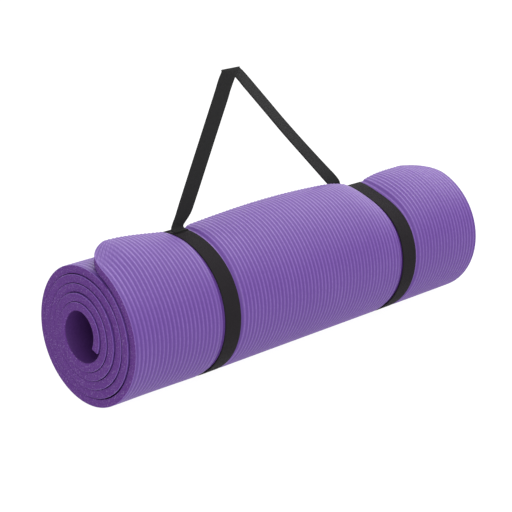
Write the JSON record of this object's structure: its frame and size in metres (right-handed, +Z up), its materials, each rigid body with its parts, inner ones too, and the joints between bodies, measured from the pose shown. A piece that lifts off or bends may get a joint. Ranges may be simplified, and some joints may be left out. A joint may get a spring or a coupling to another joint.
{
  "type": "rolled exercise mat with carry strap",
  "caption": "Ribbed foam exercise mat rolled into a spiral roll, held near each end by a webbing loop that joins a folded carry strap.",
  "frame": {"origin": "bottom centre of the bounding box, on the floor under the middle of the roll", "axes": "+X along the roll, to the right seen from its front; +Y towards its back, where the mat's free end lies; +Z up"},
  "size_m": [0.6, 0.1734, 0.3603],
  "materials": {
    "mat_foam": "soft matt foam, ribbed outside, fine-celled cut edges",
    "loop_webbing": "matt woven webbing",
    "stitch_thread": "twisted sewing thread",
    "strap_webbing": "matt woven webbing"
  },
  "bodies": {
    "mat": {"mat_roll": "mat_foam"},
    "harness": {"left_loop": "loop_webbing", "left_eye": "loop_webbing", "left_front_tack": "stitch_thread", "left_rear_tack": "stitch_thread", "right_loop": "loop_webbing", "right_eye": "loop_webbing", "right_front_tack": "stitch_thread", "right_rear_tack": "stitch_thread"},
    "carry": {"carry_strap": "strap_webbing"}
  },
  "joints": [
    {"name": "harness_slide", "type": "slide", "parent": "mat", "child": "harness", "axis": [1, 0, 0], "range_m": [0, 0.48]},
    {"name": "carry_swing", "type": "hinge", "parent": "harness", "child": "carry", "pos_m": [-0.151, 0.01046, 0.18153], "axis": [0.9911, 0.1143, -0.0682], "range_deg": [-88, 50]}
  ]
}
